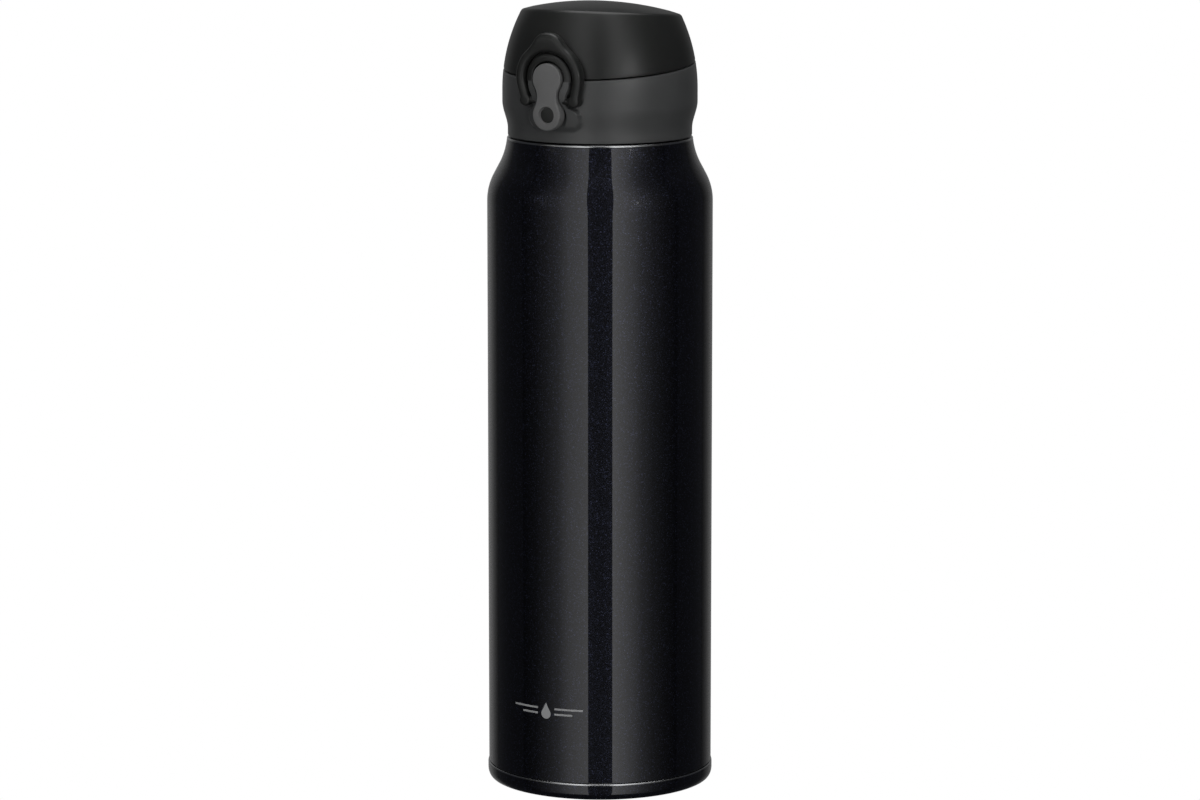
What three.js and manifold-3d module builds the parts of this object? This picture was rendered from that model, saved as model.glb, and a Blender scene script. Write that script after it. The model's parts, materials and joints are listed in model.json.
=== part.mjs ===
// Vacuum flask with a one-touch lid: steel bottle, screw-on stopper unit, hinged lid,
// release button and safety ring. Millimetres, +Z up, origin at the middle of the base.
// The lock is at the front, which is -Y, and the lid's hinge is at the back, +Y.

import * as THREE from 'three';
import { mergeVertices } from 'three/addons/utils/BufferGeometryUtils.js';
import Module from 'manifold-3d';

const wasm = await Module();
wasm.setup();

// ---------------------------------------------------------------- driving dimensions

const SIDES = 32;                 // facets round the bottle
const FINE_SIDES = 24;            // facets round small turned pieces

const BODY_R = 37.5;              // painted steel cylinder
const STEEL = 0.5;                // sheet thickness
const COVER_R = 37.82;            // base cover, a little wider than the body
const COVER_TOP_Z = 5.7;
const COVER_GAP = 0.3;
const FLOOR_R = 28;               // recess under the base
const SHELL_BOTTOM_Z = 3.0;
const SHOULDER_START_Z = 196;
const SHOULDER_END_Z = 219.2;
const SHOULDER_TOP_R = 30.6;
const LEDGE_Z = 217;              // bare steel step that the collar stands over
const NECK_R = 24.5;
const LIP_Z = 231;
const PITCH = 4;                  // stopper thread
const THREAD_R = 1.0;             // radius of a thread's round ridge
const THREAD_START_Z = 221.5;

const INNER_R = 34.9;             // inner bottle
const INNER_WALL = 0.4;
const INNER_BOTTOM_Z = 8.5;
const INNER_NECK_R = 22.6;
const FOIL_R = 35.5;

const COLLAR_BOTTOM_Z = 217.6;
const COLLAR_BOTTOM_R = 30.55;
const BELLY_R = 32.35;            // widest part of the stopper unit
const BELLY_Z = 233;
const BELLY_ARC_R = 56.5;         // barrel curve of collar and lid above the belly
const THREAD_WALL_R = 26.6;       // inside of the collar's threaded skirt
const DECK_LOW_Z = 233.9;
const DECK_TOP_Z = 236.0;
const COLLAR_CUP_R = 29.2;        // inside of the collar's rim above the deck
const PART_Z = 240.9;             // parting plane of lid and collar, on the axis
const PART_TILT = 0.0898;         // it rises towards the back (radians)
const PART_GAP = 0.4;

const LID_WALL = 1.6;
const DOME_Z = 262.1;             // top of the lid's dome
const DOME_R = 100;
const DOME_TILT = 0.075;          // the top leans down towards the back (radians)
const ROOF = 1.8;
const LINER_GAP = 0.4;
const LINER_WALL = 1.4;
const LINER_CEILING_Z = 252.6;

const SPOUT_Y = -5;               // the spout stands nearer the front
const SPOUT_R = 9.4;
const SPOUT_BORE_R = 6.6;
const SPOUT_TOP_Z = 250;

const HINGE_Y = 32.6;
const HINGE_Z = 242.6;
const KNUCKLE_R = 2.4;
const HINGE_RELIEF_R = 2.9;
const HINGE_PIN_R = 1.0;
const PIN_GAP = 0.3;
const EAR_INNER_X = 5.6;
const EAR_OUTER_X = 9.2;

const BUTTON_TOP_Z = 238.9;       // centre of the button's upper circle
const BUTTON_TOP_R = 5.35;
const BUTTON_LOW_Z = 227.2;       // centre of its lower circle
const BUTTON_LOW_R = 5.07;
const BUTTON_WAIST_R = 6.56;      // radius of the hollow sides between the circles
const BUTTON_FACE = 36.7;         // distance of its face from the bottle's axis
const BUTTON_BACK = 33.5;
const BUTTON_GAP = 0.35;
const DIMPLE_R = 2.7;
const DIMPLE_DEPTH = 1.1;
const POCKET_FLOOR = 31.7;
const BUTTON_PIN = { y: -34.0, z: 235.6, r: 0.6, half: 5.6 };

const ARCH_OUTER_R = 7.8;         // lid's arch over the button
const ARCH_FACE = 33.0;

const RING_Z = 238.8;             // centre of the safety ring's bend
const RING_R = 9.9;
const RING_HALF_WIDTH = 1.6;
const RING_HALF_DEPTH = 1.8;
const RING_BEND = 0.2618;         // the bend goes this far below level, then the limbs run straight
const RING_END_X = 8.36;
const RING_PIVOT_Y = -33.6;
const RING_PIVOT_Z = 231.763;
const RING_LEAN = 0.082;          // it leans forward, clear of the arch (radians)
const RING_PIN_R = 1.2;

// ---------------------------------------------------------------- finishes

const PAINT = { color: 0x15151b, roughness: 0.35, metalness: 0.5 };
const STEEL_FINISH = { color: 0xb9bbbd, roughness: 0.3, metalness: 1 };
const FOIL = { color: 0xc98b5a, roughness: 0.25, metalness: 1 };
const GREY = { color: 0x4a4b4c, roughness: 0.5, metalness: 0 };
const BUTTON_GREY = { color: 0x626364, roughness: 0.5, metalness: 0 };
const BLACK = { color: 0x252626, roughness: 0.55, metalness: 0 };
const PALE = { color: 0x8d9092, roughness: 0.5, metalness: 0 };
const SILICONE = { color: 0xb8b6ae, roughness: 0.7, metalness: 0 };
const GLUE = { color: 0xd8d3c4, roughness: 0.8, metalness: 0 };

// ---------------------------------------------------------------- tools

// Indexed triangles with shared corners, no flat triangles, faces outwards.
function clean(geometry) {
  const bare = geometry.clone();
  bare.deleteAttribute('normal');
  bare.deleteAttribute('uv');
  const merged = mergeVertices(bare, 1e-4);
  const source = merged.index.array;
  const corners = [];
  for (let i = 0; i < source.length; i += 3) {
    const [a, b, c] = [source[i], source[i + 1], source[i + 2]];
    if (a !== b && b !== c && c !== a) corners.push(a, b, c);
  }
  const position = merged.attributes.position;
  const [p, q, r] = [new THREE.Vector3(), new THREE.Vector3(), new THREE.Vector3()];
  let volume = 0;
  for (let i = 0; i < corners.length; i += 3) {
    p.fromBufferAttribute(position, corners[i]);
    q.fromBufferAttribute(position, corners[i + 1]);
    r.fromBufferAttribute(position, corners[i + 2]);
    volume += p.dot(q.cross(r));
  }
  merged.setIndex(volume < 0 ? corners.reverse() : corners);
  return merged;
}

function solid(geometry) {
  const shape = clean(geometry);
  return new wasm.Manifold(new wasm.Mesh({
    numProp: 3,
    vertProperties: new Float32Array(shape.attributes.position.array),
    triVerts: new Uint32Array(shape.index.array),
  }));
}

function geometryOf(body) {
  const mesh = body.getMesh();
  const geometry = new THREE.BufferGeometry();
  geometry.setAttribute('position', new THREE.BufferAttribute(mesh.vertProperties, 3));
  geometry.setIndex(new THREE.BufferAttribute(mesh.triVerts, 1));
  return geometry;
}

// Turned shape from [radius, height] points that start and end on the axis.
function turned(profile, sides = SIDES) {
  const points = profile.map(([r, z]) => new THREE.Vector2(r, z));
  return new THREE.LatheGeometry(points, sides).rotateX(Math.PI / 2);
}

// Turned ring from a closed [radius, height] outline.
function hoop(outline, sides = SIDES) {
  return turned([...outline, outline[0]], sides);
}

function washer(innerR, outerR, lowZ, highZ, sides = SIDES) {
  return hoop([[innerR, lowZ], [outerR, lowZ], [outerR, highZ], [innerR, highZ]], sides);
}

// Outline drawn in x and z, pushed forward from y = -near to y = -far.
function forward(shape, near, far, curveSegments = 8) {
  const options = { depth: far - near, bevelEnabled: false, curveSegments };
  return new THREE.ExtrudeGeometry(shape, options).translate(0, 0, near).rotateX(Math.PI / 2);
}

// Outline drawn in y and z, pushed sideways from x = low to x = high.
function sideways(shape, low, high, curveSegments = 8) {
  const options = { depth: high - low, bevelEnabled: false, curveSegments };
  const geometry = new THREE.ExtrudeGeometry(shape, options);
  return geometry.rotateX(Math.PI / 2).rotateZ(Math.PI / 2).translate(low, 0, 0);
}

// Round bar along X.
function bar(radius, lowX, highX, y, z, sides = FINE_SIDES) {
  const geometry = new THREE.CylinderGeometry(radius, radius, highX - lowX, sides);
  return geometry.rotateZ(Math.PI / 2).translate((lowX + highX) / 2, y, z);
}

// Round bar along Y, from y = -near to y = -far.
function stub(radius, near, far, x, z, sides = FINE_SIDES) {
  return new THREE.CylinderGeometry(radius, radius, far - near, sides)
    .translate(x, -(near + far) / 2, z);
}

// Round wire or ridge along a curve.
function wire(curve, radius, steps, sides = 6) {
  const section = new THREE.Shape();
  section.absarc(0, 0, radius, 0, Math.PI * 2);
  const options = { steps, extrudePath: curve, curveSegments: sides / 2 };
  return new THREE.ExtrudeGeometry(section, options);
}

class Helix extends THREE.Curve {
  constructor(radius, turns, pitch, startAngle, place) {
    super();
    Object.assign(this, { radius, turns, pitch, startAngle, place });
  }

  getPoint(t, target = new THREE.Vector3()) {
    const angle = this.startAngle + t * this.turns * Math.PI * 2;
    const along = t * this.turns * this.pitch;
    const across = [this.radius * Math.cos(angle), this.radius * Math.sin(angle)];
    return this.place(target, across, along);
  }
}

function smoothstep(low, high, value) {
  const t = Math.min(Math.max((value - low) / (high - low), 0), 1);
  return t * t * (3 - 2 * t);
}

function range(low, high, count) {
  return Array.from({ length: count + 1 }, (_, i) => low + ((high - low) * i) / count);
}

// Everything above or below the lid's parting plane, moved along Z by offset.
function partingBlock(side, offset) {
  const block = new THREE.BoxGeometry(120, 120, 60).translate(0, 0, side * 30);
  return solid(block.rotateX(PART_TILT).translate(0, 0, PART_Z + offset));
}

// Everything under the lid's leaning dome, lowered by drop.
function domeBlock(drop) {
  const sag = (r) => DOME_R - Math.sqrt(DOME_R ** 2 - r ** 2);
  const cap = range(0, 40, 8).map((r) => [r, -sag(r)]);
  const block = turned([...cap, [40, -60], [0, -60]]);
  return solid(block.rotateX(-DOME_TILT).translate(0, 0, DOME_Z - drop));
}

const flask = new THREE.Group();

function add(name, shape, finish) {
  const geometry = shape instanceof THREE.BufferGeometry ? shape : geometryOf(shape);
  const mesh = new THREE.Mesh(clean(geometry), new THREE.MeshStandardMaterial(finish));
  mesh.name = name;
  flask.add(mesh);
}

// ---------------------------------------------------------------- hinge

function hingeBar(radius, lowX, highX, sides = FINE_SIDES) {
  return solid(bar(radius, lowX, highX, HINGE_Y, HINGE_Z, sides));
}

function hingeRelief(radius) {
  return hingeBar(radius, -EAR_OUTER_X - 0.4, EAR_OUTER_X + 0.4);
}

// An ear or knuckle: an eye round the pin and a web to the wall, outlined in y and z.
function hingeEye(web, lowX, highX) {
  const outline = new THREE.Shape(web.map(([y, z]) => new THREE.Vector2(y, z)));
  return solid(sideways(outline, lowX, highX)).add(hingeBar(KNUCKLE_R, lowX, highX));
}

function hingeHole() {
  return hingeBar(HINGE_PIN_R + PIN_GAP, -12, 12, 12);
}

// ---------------------------------------------------------------- outlines

function shoulderRadius(z, inset = 0) {
  const share = smoothstep(SHOULDER_START_Z, SHOULDER_END_Z, z);
  return BODY_R - inset - (BODY_R - SHOULDER_TOP_R) * share;
}

// Collar and lid share one barrel outline.
function stopperRadius(z) {
  if (z > BELLY_Z) {
    return BELLY_R - BELLY_ARC_R + Math.sqrt(BELLY_ARC_R ** 2 - (z - BELLY_Z) ** 2);
  }
  return COLLAR_BOTTOM_R + (BELLY_R - COLLAR_BOTTOM_R) * smoothstep(220, 229, z);
}

// Two circles joined by hollow sides, all grown by grow.
function buttonOutline(grow = 0) {
  const top = BUTTON_TOP_R + grow;
  const low = BUTTON_LOW_R + grow;
  const waist = BUTTON_WAIST_R - grow;
  const span = BUTTON_TOP_Z - BUTTON_LOW_Z;
  const a = top + waist;
  const b = low + waist;
  const drop = (a * a - b * b + span * span) / (2 * span);
  const waistZ = BUTTON_TOP_Z - drop;
  const waistX = Math.sqrt(a * a - drop * drop);
  const up = Math.atan2(drop, waistX);
  const down = Math.atan2(span - drop, waistX);
  const outline = new THREE.Shape();
  outline.absarc(0, BUTTON_TOP_Z, top, -up, Math.PI + up, false);
  outline.absarc(-waistX, waistZ, waist, up, -down, true);
  outline.absarc(0, BUTTON_LOW_Z, low, Math.PI - down, Math.PI * 2 + down, false);
  outline.absarc(waistX, waistZ, waist, Math.PI + down, Math.PI - up, true);
  return outline;
}

// ---------------------------------------------------------------- steel body

function outerShell() {
  const top = LEDGE_Z;
  const shoulder = range(SHOULDER_START_Z + 2, top - 0.4, 7);
  const outside = [
    [COVER_R - 1.6, SHELL_BOTTOM_Z], [COVER_R - 1.6, COVER_TOP_Z + 0.2], [BODY_R, COVER_TOP_Z + 0.8],
    [BODY_R, SHOULDER_START_Z], ...shoulder.map((z) => [shoulderRadius(z), z]),
    [SHOULDER_TOP_R - 0.2, top], [NECK_R + 0.8, top], [NECK_R, top + 0.8], [NECK_R, LIP_Z],
  ];
  const inside = [
    [NECK_R - STEEL, LIP_Z], [NECK_R - STEEL, top - STEEL], [SHOULDER_TOP_R - 0.9, top - STEEL - 0.3],
    ...shoulder.slice(0, -1).reverse().map((z) => [shoulderRadius(z, STEEL), z]),
    [BODY_R - STEEL, SHOULDER_START_Z], [BODY_R - STEEL, COVER_TOP_Z + 1],
    [COVER_R - 1.6 - STEEL, COVER_TOP_Z + 0.4], [COVER_R - 1.6 - STEEL, SHELL_BOTTOM_Z],
  ];
  const place = (target, [x, y], along) => target.set(x, y, THREAD_START_Z + along);
  const ridge = new Helix(NECK_R + 0.4, 1.5, PITCH, 0, place);
  return solid(hoop([...outside, ...inside])).add(solid(wire(ridge, THREAD_R, 26)));
}

function innerBottle() {
  const shoulder = range(SHOULDER_START_Z - 4, LEDGE_Z - 6, 5);
  const neckShare = (z) => smoothstep(SHOULDER_START_Z - 6, LEDGE_Z - 3, z);
  const radius = (z, inset) => INNER_R - inset - (INNER_R - INNER_NECK_R) * neckShare(z);
  const outside = [
    [0, INNER_BOTTOM_Z], [INNER_R - 5, INNER_BOTTOM_Z], [INNER_R - 1.4, INNER_BOTTOM_Z + 1.4],
    [INNER_R, INNER_BOTTOM_Z + 5], [INNER_R, SHOULDER_START_Z - 6],
    ...shoulder.map((z) => [radius(z, 0), z]), [INNER_NECK_R, LEDGE_Z - 2],
    [INNER_NECK_R, LIP_Z + 0.3], [NECK_R, LIP_Z + 0.3],
  ];
  const inside = [
    [NECK_R, LIP_Z + 0.7], [INNER_NECK_R - INNER_WALL, LIP_Z + 0.7],
    [INNER_NECK_R - INNER_WALL, LEDGE_Z - 2],
    ...shoulder.slice().reverse().map((z) => [radius(z, INNER_WALL), z]),
    [INNER_R - INNER_WALL, SHOULDER_START_Z - 6], [INNER_R - INNER_WALL, INNER_BOTTOM_Z + 5],
    [INNER_R - 1.7, INNER_BOTTOM_Z + 1.8], [INNER_R - 5, INNER_BOTTOM_Z + INNER_WALL],
    [0, INNER_BOTTOM_Z + INNER_WALL],
  ];
  return turned([...outside, ...inside]);
}

function baseCover() {
  const innerR = COVER_R - 1.6 + COVER_GAP;
  return turned([
    [0, 1.0], [FLOOR_R, 1.0], [FLOOR_R + 1, 0], [36.3, 0], [37.1, 0.35], [37.6, 1.0],
    [COVER_R, 2.2], [COVER_R, 4.3], [37.62, 5.4], [37.3, COVER_TOP_Z],
    [innerR, COVER_TOP_Z], [innerR, 2.2], [0, 2.2],
  ]);
}

const innerWallR = COVER_R - 1.6 - STEEL;
add('outer_shell', outerShell(), PAINT);
const bottomZ = SHELL_BOTTOM_Z + 0.6;
add('outer_bottom', washer(1.4, innerWallR - 0.3, bottomZ, bottomZ + 0.8), STEEL_FINISH);
add('vacuum_seal', turned([[0, 2.6], [3, 2.6], [3, 3.3], [0, 3.3]], FINE_SIDES), STEEL_FINISH);
add('inner_bottle', innerBottle(), STEEL_FINISH);
add('radiation_foil', washer(FOIL_R, FOIL_R + 0.3, 14, 188), FOIL);
const pellet = turned([[0, 4.8], [4, 4.8], [4, 7], [0, 7]], FINE_SIDES);
add('getter_pellet', pellet.translate(14, 0, 0), GLUE);
add('base_cover', baseCover(), PAINT);
add('base_adhesive_ring', washer(28, 33, 2.4, 3.3), GLUE);

// ---------------------------------------------------------------- stopper unit

// The front of the boss: its face and the foot where it runs back into the collar.
function bossEnvelope() {
  return solid(turned([
    [0, 219.5], [30.2, 220], [31.9, 222], [33.0, 225], [34.2, 228.5], [35.7, 232.5], [36.1, 235], [36.1, 246], [0, 246],
  ]));
}

function bossOutline() {
  const side = [[ARCH_OUTER_R, 243], [ARCH_OUTER_R, 238.6], [7.5, 236.2], [7.0, 234.4],
    [6.6, 233], [6.3, 231.8], [6.3, 230], [7.2, 229.3], [9.0, 228.6], [9.6, 226.5], [9.4, 223.5],
    [8.4, 221.2]];
  const right = side.map(([x, z]) => new THREE.Vector2(x, z));
  const left = side.slice().reverse().map(([x, z]) => new THREE.Vector2(-x, z));
  return new THREE.Shape([...right, ...left]);
}

function collar() {
  const rim = PART_Z + 4;
  const profile = [
    [0, DECK_LOW_Z], [THREAD_WALL_R, DECK_LOW_Z], [THREAD_WALL_R, 218.8], [27.6, COLLAR_BOTTOM_Z],
    [COLLAR_BOTTOM_R - 0.2, COLLAR_BOTTOM_Z], [COLLAR_BOTTOM_R, COLLAR_BOTTOM_Z + 0.3],
    ...[220.6, 222.5, 224.5, 226.5, 228.5, 233, 237, 241, rim].map((z) => [stopperRadius(z), z]),
    [COLLAR_CUP_R, rim], [COLLAR_CUP_R, DECK_TOP_Z], [0, DECK_TOP_Z],
  ];
  const place = (target, [x, y], along) => target.set(x, y, THREAD_START_Z + PITCH / 2 + along);
  const ridge = new Helix(THREAD_WALL_R - 0.3, 0.75, PITCH, 0, place);
  const boss = solid(forward(bossOutline(), 29.6, 38)).intersect(bossEnvelope());
  const earWeb = [[29.6, 236], [32.0, 235.2], [34.9, 241.6], [34.4, 243], [30.4, 243.2], [29.8, 242]];
  let body = solid(turned(profile)).add(solid(wire(ridge, THREAD_R, 13))).add(boss);
  body = body.subtract(partingBlock(1, 0)).subtract(hingeRelief(HINGE_RELIEF_R));
  body = body.add(hingeEye(earWeb, -EAR_OUTER_X, -EAR_INNER_X));
  body = body.add(hingeEye(earWeb, EAR_INNER_X, EAR_OUTER_X)).subtract(hingeHole());
  body = body.subtract(solid(forward(buttonOutline(BUTTON_GAP), POCKET_FLOOR, 40)));
  const reach = BUTTON_PIN.half + 0.4;
  const pinHole = bar(BUTTON_PIN.r + PIN_GAP, -reach, reach, BUTTON_PIN.y, BUTTON_PIN.z, 12);
  const pivotHole = bar(RING_PIN_R + PIN_GAP, -7, 7, RING_PIVOT_Y, RING_PIVOT_Z, 12);
  body = body.subtract(solid(pinHole)).subtract(solid(pivotHole));
  for (const [low, high] of [[-10.6, -6.4], [6.4, 10.6]]) {
    const relief = bar(RING_HALF_WIDTH + 0.35, low, high, RING_PIVOT_Y, RING_PIVOT_Z);
    body = body.subtract(solid(relief));
  }
  const spoutHole = new THREE.CylinderGeometry(SPOUT_R + 0.4, SPOUT_R + 0.4, 8, FINE_SIDES);
  return body.subtract(solid(spoutHole.rotateX(Math.PI / 2).translate(0, SPOUT_Y, DECK_TOP_Z)));
}

function spout() {
  const shape = hoop([
    [SPOUT_BORE_R, 228.5], [SPOUT_BORE_R + 2.4, 228.5], [14.6, 230.4], [14.6, 231.8], [SPOUT_R, 232.4],
    [SPOUT_R, 244], [SPOUT_R - 0.7, SPOUT_TOP_Z - 0.8], [SPOUT_R - 1.4, SPOUT_TOP_Z],
    [SPOUT_BORE_R + 0.5, SPOUT_TOP_Z], [SPOUT_BORE_R, SPOUT_TOP_Z - 0.7],
  ], FINE_SIDES);
  return shape.translate(0, SPOUT_Y, 0);
}

function lockRing() {
  const arc = new THREE.Curve();
  const sweep = Math.PI + 2 * RING_BEND;
  const bendX = RING_R * Math.cos(RING_BEND);
  const bendZ = RING_Z - RING_R * Math.sin(RING_BEND);
  const limb = Math.hypot(bendX - RING_END_X, bendZ - RING_PIVOT_Z);
  const length = sweep * RING_R + 2 * limb;
  arc.getPoint = (t, target = new THREE.Vector3()) => {
    const side = t < 0.5 ? 1 : -1;
    const along = Math.min(t, 1 - t) * length;
    if (along < limb) {
      const share = along / limb;
      const x = RING_END_X + (bendX - RING_END_X) * share;
      return target.set(side * x, RING_PIVOT_Y, RING_PIVOT_Z + (bendZ - RING_PIVOT_Z) * share);
    }
    const angle = (along - limb) / RING_R - RING_BEND;
    return target.set(side * RING_R * Math.cos(angle), RING_PIVOT_Y, RING_Z + RING_R * Math.sin(angle));
  };
  const section = new THREE.Shape();
  section.absellipse(0, 0, RING_HALF_WIDTH, RING_HALF_DEPTH, 0, Math.PI * 2);
  let ring = solid(new THREE.ExtrudeGeometry(section, { steps: 28, extrudePath: arc, curveSegments: 6 }));
  for (const side of [-1, 1]) {
    const x = side * RING_END_X;
    const end = new THREE.SphereGeometry(RING_HALF_WIDTH, 12, 8);
    end.scale(1, RING_HALF_DEPTH / RING_HALF_WIDTH, 1).translate(x, RING_PIVOT_Y, RING_PIVOT_Z);
    const [low, high] = side < 0 ? [x, -4.4] : [4.4, x];
    ring = ring.add(solid(end)).add(solid(bar(RING_PIN_R, low, high, RING_PIVOT_Y, RING_PIVOT_Z, 12)));
  }
  const tab = new THREE.SphereGeometry(1, 12, 8).scale(4, 1.4, 2.2);
  ring = ring.add(solid(tab.translate(0, RING_PIVOT_Y, RING_Z + RING_R + RING_HALF_WIDTH - 0.3)));
  const geometry = geometryOf(ring);
  geometry.translate(0, -RING_PIVOT_Y, -RING_PIVOT_Z).rotateX(RING_LEAN);
  return geometry.translate(0, RING_PIVOT_Y, RING_PIVOT_Z);
}

function pushButton() {
  let body = solid(forward(buttonOutline(), BUTTON_BACK, BUTTON_FACE));
  body = body.add(solid(bar(1.7, -3.6, 3.6, BUTTON_PIN.y, BUTTON_PIN.z)));
  const hookCorners = [[-33.7, 240.4], [-32.1, 240.4], [-33.7, 242.4]];
  const hook = new THREE.Shape(hookCorners.map(([y, z]) => new THREE.Vector2(y, z)));
  body = body.add(solid(sideways(hook, -2.5, 2.5)));
  body = body.subtract(solid(bar(BUTTON_PIN.r + PIN_GAP, -6, 6, BUTTON_PIN.y, BUTTON_PIN.z, 12)));
  body = body.subtract(solid(stub(DIMPLE_R, BUTTON_FACE - DIMPLE_DEPTH, 38, 0, BUTTON_LOW_Z)));
  return body.subtract(solid(stub(2.1, 30, 35, 0, BUTTON_LOW_Z - 0.5, 16)));
}

const springZ = BUTTON_LOW_Z - 0.5;
const buttonCoil = new Helix(1.4, 3, 0.8, 0, (target, [u, v], along) => {
  return target.set(u, -POCKET_FLOOR - 0.6 - along, springZ + v);
});
const hingeCoil = new Helix(1.75, 2.5, 0.55, 0, (target, [u, v], along) => {
  return target.set(3.7 + along, HINGE_Y + u, HINGE_Z + v);
});
const pinBar = bar(BUTTON_PIN.r, -BUTTON_PIN.half, BUTTON_PIN.half, BUTTON_PIN.y, BUTTON_PIN.z, 12);

add('mouth_gasket', washer(21.4, 25.9, LIP_Z + 1, DECK_LOW_Z - 0.3), SILICONE);
add('collar', collar(), GREY);
add('spout', spout(), PALE);
const spoutSeal = washer(11, 13.8, 232.6, DECK_LOW_Z - 0.3, FINE_SIDES);
add('spout_seal_ring', spoutSeal.translate(0, SPOUT_Y, 0), SILICONE);
add('hinge_pin', bar(HINGE_PIN_R, -EAR_OUTER_X, EAR_OUTER_X, HINGE_Y, HINGE_Z, 12), STEEL_FINISH);
add('hinge_spring', wire(hingeCoil, 0.25, 25), STEEL_FINISH);
add('push_button', pushButton(), BUTTON_GREY);
add('button_pin', pinBar, STEEL_FINISH);
add('button_spring', wire(buttonCoil, 0.22, 30), STEEL_FINISH);
add('lock_ring', lockRing(), BLACK);

// ---------------------------------------------------------------- lid

const LID_ROWS = [234, 238, 243, 248, 253, 258, 264];

function lidShell() {
  const outside = turned([[0, 234], ...LID_ROWS.map((z) => [stopperRadius(z), z]), [0, 264]]);
  const inside = turned([[0, 234], ...LID_ROWS.map((z) => [stopperRadius(z) - LID_WALL, z]), [0, 264]]);
  let body = solid(outside).intersect(domeBlock(0));
  body = body.subtract(solid(inside).intersect(domeBlock(ROOF)));
  const archRing = new THREE.Shape();
  archRing.absarc(0, BUTTON_TOP_Z, ARCH_OUTER_R, 0, Math.PI * 2);
  const archHole = new THREE.Path();
  archHole.absarc(0, BUTTON_TOP_Z, BUTTON_TOP_R + BUTTON_GAP, 0, Math.PI * 2);
  archRing.holes.push(archHole);
  const envelope = solid(turned([[0, 230], [ARCH_FACE, 230], [ARCH_FACE, 252], [0, 252]]));
  body = body.add(solid(forward(archRing, 29.9, 38, 16)).intersect(envelope));
  body = body.subtract(partingBlock(-1, PART_GAP)).subtract(hingeRelief(HINGE_RELIEF_R));
  const web = [[30.3, 243.9], [34.2, 244.3], [30.2, 248.4], [29.2, 248], [29.5, 244.5]];
  return body.add(hingeEye(web, -5.2, 3.0)).subtract(hingeHole());
}

function lidInner() {
  const outerR = (z) => stopperRadius(z) - LID_WALL - LINER_GAP;
  const rows = [236, 243, 248];
  const down = [LINER_CEILING_Z, ...rows.slice().reverse()];
  const ceilingTop = LINER_CEILING_Z + 1.2;
  const profile = [
    [0, LINER_CEILING_Z], ...down.map((z) => [outerR(z) - LINER_WALL, z]),
    ...rows.map((z) => [outerR(z), z]), [outerR(ceilingTop), ceilingTop], [0, ceilingTop],
  ];
  let body = solid(turned(profile)).intersect(domeBlock(ROOF + LINER_GAP));
  return body.subtract(partingBlock(-1, PART_GAP)).subtract(hingeRelief(HINGE_RELIEF_R + 0.3));
}

const ceiling = LINER_CEILING_Z - 0.2;
const plugR = SPOUT_BORE_R - 0.9;
add('lid_shell', lidShell(), BLACK);
add('lid_inner', lidInner(), PALE);
const holder = washer(10.2, 12, SPOUT_TOP_Z + 0.6, ceiling, FINE_SIDES);
add('gasket_holder', holder.translate(0, SPOUT_Y, 0), PALE);
add('lid_gasket', turned([
  [0, SPOUT_TOP_Z - 0.6], [plugR - 0.4, SPOUT_TOP_Z - 0.6], [plugR, SPOUT_TOP_Z + 0.3],
  [9.8, SPOUT_TOP_Z + 0.3], [9.8, ceiling], [0, ceiling],
], FINE_SIDES).translate(0, SPOUT_Y, 0), SILICONE);

export default flask;
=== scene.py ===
# %% [markdown]
# # A vacuum flask with a one-touch lid
# This notebook builds the looks of a slim steel flask round its packed mechanical model. The steel
# body is painted, the collar and lid are moulded plastic, and a button with a safety ring holds the
# lid shut. Every piece is drawn in millimetres and scaled to metres when it becomes an object, because
# the real drawings are in millimetres too. The bottle stands on the origin, +Z is up, the lock faces -Y.

# %% Load the frame
import json
import bmesh
import bpy
from math import atan2, cos, degrees, exp, hypot, pi, radians, sin, sqrt, tan
from mathutils import Matrix, Vector


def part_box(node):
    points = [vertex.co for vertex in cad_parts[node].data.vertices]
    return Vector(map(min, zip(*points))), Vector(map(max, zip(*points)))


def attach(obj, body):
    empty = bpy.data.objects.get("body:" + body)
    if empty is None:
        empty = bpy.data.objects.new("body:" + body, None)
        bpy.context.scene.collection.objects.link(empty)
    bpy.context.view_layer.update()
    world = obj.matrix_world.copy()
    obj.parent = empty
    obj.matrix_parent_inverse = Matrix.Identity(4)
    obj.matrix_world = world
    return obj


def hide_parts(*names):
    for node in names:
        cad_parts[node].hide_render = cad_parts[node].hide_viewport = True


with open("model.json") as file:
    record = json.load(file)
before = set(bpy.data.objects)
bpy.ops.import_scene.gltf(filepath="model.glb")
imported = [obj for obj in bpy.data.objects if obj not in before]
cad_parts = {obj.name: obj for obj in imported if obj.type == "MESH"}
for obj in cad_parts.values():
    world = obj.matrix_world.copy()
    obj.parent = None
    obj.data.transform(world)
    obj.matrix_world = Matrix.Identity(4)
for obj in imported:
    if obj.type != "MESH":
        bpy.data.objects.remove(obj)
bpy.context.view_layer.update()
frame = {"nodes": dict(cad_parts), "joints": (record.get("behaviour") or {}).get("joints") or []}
MM = 0.001
scene = bpy.context.scene


# %% Sizes that come from the frame
def box_mm(node):
    """Lowest and highest corner of a CAD node, in millimetres."""
    low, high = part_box(node)
    return low / MM, high / MM


joints = {joint["name"]: joint for joint in frame["joints"]}
COVER_R = box_mm("base_cover")[1].x
COVER_TOP = box_mm("base_cover")[1].z
SHELL_BOTTOM = box_mm("outer_shell")[0].z
BODY_R = box_mm("outer_shell")[1].x
LIP_Z = box_mm("outer_shell")[1].z
COLLAR_BOTTOM = box_mm("collar")[0].z
SPOUT_TOP = box_mm("spout")[1].z
BUTTON_FACE = -box_mm("push_button")[0].y
HINGE_Y, HINGE_Z = (joints["lid_hinge"]["pos_m"][i] / MM for i in (1, 2))
RING_PIVOT_Y, RING_PIVOT_Z = (joints["safety_ring_swing"]["pos_m"][i] / MM for i in (1, 2))
print(f"body {2 * BODY_R:.1f} mm wide, collar from {COLLAR_BOTTOM:.1f} mm, spout to {SPOUT_TOP:.1f} mm")

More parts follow.
